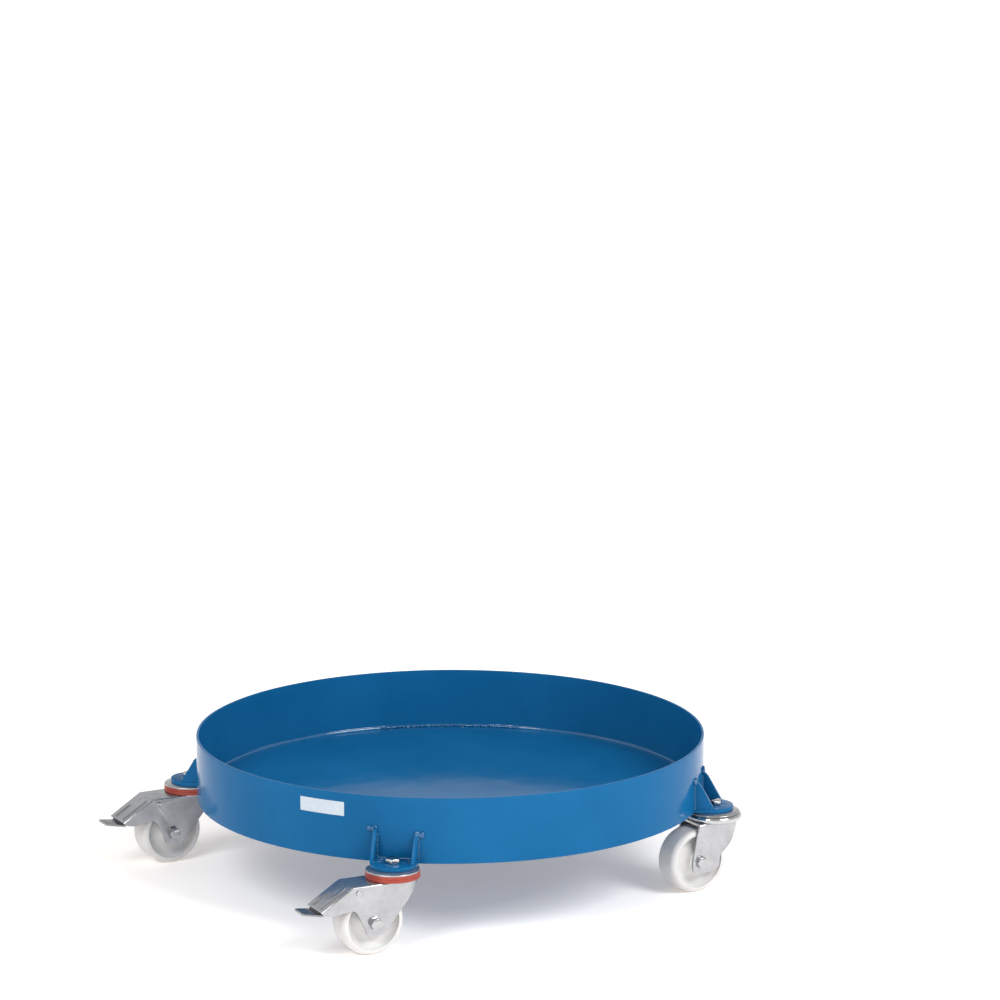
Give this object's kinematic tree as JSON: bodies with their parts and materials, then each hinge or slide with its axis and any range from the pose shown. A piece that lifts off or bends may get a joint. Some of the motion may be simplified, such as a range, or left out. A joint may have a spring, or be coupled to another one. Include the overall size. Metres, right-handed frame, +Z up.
{
  "type": "drum dolly",
  "caption": "Round sheet-steel pan for a drum, on swivel casters bracketed to its wall, two of them with pedal brakes.",
  "frame": {"origin": "centre of the pan floor's upper face", "axes": "+Z up, along the pan's axis; +X to the right of the maker's front view, and the casters trail towards -X"},
  "size_m": [0.8057, 0.7602, 0.179],
  "materials": {
    "blue_paint": "gloss",
    "blue_weld": "gloss",
    "zinc_sheet": "satin zinc plate",
    "zinc_rolled": "bright zinc plate",
    "zinc_bolt": "bright zinc plate",
    "zinc_pedal": "satin zinc plate",
    "ground_steel": "ground",
    "red_seal": "moulded",
    "white_nylon": "moulded",
    "nylon_bush": "moulded",
    "brake_rubber": "moulded",
    "white_label": "blank film"
  },
  "bodies": {
    "pan": {"pan_wall": "blue_paint", "pan_floor": "blue_paint", "floor_weld": "blue_weld", "blank_label": "white_label", "bracket_welds": "blue_weld", "king_bolts": "zinc_bolt", "king_nuts": "zinc_bolt", "swivel_sleeves": "ground_steel", "retaining_washers": "zinc_bolt", "bracket_plate_front": "blue_paint", "gussets_front": "blue_paint", "swivel_head_front": "zinc_sheet", "seal_ring_front": "red_seal", "bracket_plate_right": "blue_paint", "gussets_right": "blue_paint", "swivel_head_right": "zinc_sheet", "bracket_plate_back": "blue_paint", "gussets_back": "blue_paint", "swivel_head_back": "zinc_sheet", "bracket_plate_left": "blue_paint", "gussets_left": "blue_paint", "swivel_head_left": "zinc_sheet", "seal_ring_left": "red_seal"},
    "caster_front": {"fork_front": "zinc_sheet", "swivel_balls_front": "ground_steel", "axle_bolt_front": "zinc_bolt", "axle_nut_front": "zinc_bolt", "axle_tube_front": "ground_steel", "brake_pivot_front": "zinc_bolt"},
    "wheel_front": {"wheel_front": "white_nylon", "hub_bush_front": "nylon_bush"},
    "brake_front": {"brake_lever_front": "zinc_pedal", "brake_shoe_front": "brake_rubber"},
    "caster_right": {"fork_right": "zinc_sheet", "swivel_balls_right": "ground_steel", "axle_bolt_right": "zinc_bolt", "axle_nut_right": "zinc_bolt", "axle_tube_right": "ground_steel", "race_ring_right": "zinc_rolled"},
    "wheel_right": {"wheel_right": "white_nylon", "hub_bush_right": "nylon_bush"},
    "caster_back": {"fork_back": "zinc_sheet", "swivel_balls_back": "ground_steel", "axle_bolt_back": "zinc_bolt", "axle_nut_back": "zinc_bolt", "axle_tube_back": "ground_steel", "race_ring_back": "zinc_rolled"},
    "wheel_back": {"wheel_back": "white_nylon", "hub_bush_back": "nylon_bush"},
    "caster_left": {"fork_left": "zinc_sheet", "swivel_balls_left": "ground_steel", "axle_bolt_left": "zinc_bolt", "axle_nut_left": "zinc_bolt", "axle_tube_left": "ground_steel", "brake_pivot_left": "zinc_bolt"},
    "wheel_left": {"wheel_left": "white_nylon", "hub_bush_left": "nylon_bush"},
    "brake_left": {"brake_lever_left": "zinc_pedal", "brake_shoe_left": "brake_rubber"}
  },
  "joints": [
    {"name": "swivel_front", "type": "hinge", "parent": "pan", "child": "caster_front", "pos_m": [-0.06411, -0.32983, -0.003], "axis": [0, 0, 1], "continuous": true},
    {"name": "wheel_spin_front", "type": "hinge", "parent": "caster_front", "child": "wheel_front", "pos_m": [-0.09352, -0.34481, -0.062], "axis": [0.454, -0.891, 0], "continuous": true},
    {"name": "brake_pedal_front", "type": "hinge", "parent": "caster_front", "child": "brake_front", "pos_m": [-0.11223, -0.35434, -0.0225], "axis": [0.454, -0.891, 0], "range_deg": [0, 9]},
    {"name": "swivel_right", "type": "hinge", "parent": "pan", "child": "caster_right", "pos_m": [0.32739, -0.07558, -0.003], "axis": [0, 0, 1], "continuous": true},
    {"name": "wheel_spin_right", "type": "hinge", "parent": "caster_right", "child": "wheel_right", "pos_m": [0.29919, -0.09273, -0.062], "axis": [0.5195, -0.8545, 0], "continuous": true},
    {"name": "swivel_back", "type": "hinge", "parent": "pan", "child": "caster_back", "pos_m": [0.06411, 0.32983, -0.003], "axis": [0, 0, 1], "continuous": true},
    {"name": "wheel_spin_back", "type": "hinge", "parent": "caster_back", "child": "wheel_back", "pos_m": [0.03497, 0.31433, -0.062], "axis": [0.4695, -0.8829, 0], "continuous": true},
    {"name": "swivel_left", "type": "hinge", "parent": "pan", "child": "caster_left", "pos_m": [-0.33186, 0.05256, -0.003], "axis": [0, 0, 1], "continuous": true},
    {"name": "wheel_spin_left", "type": "hinge", "parent": "caster_left", "child": "wheel_left", "pos_m": [-0.36061, 0.03636, -0.062], "axis": [0.4909, -0.8712, 0], "continuous": true},
    {"name": "brake_pedal_left", "type": "hinge", "parent": "caster_left", "child": "brake_left", "pos_m": [-0.37891, 0.02605, -0.0225], "axis": [0.4909, -0.8712, 0], "range_deg": [0, 9]}
  ]
}
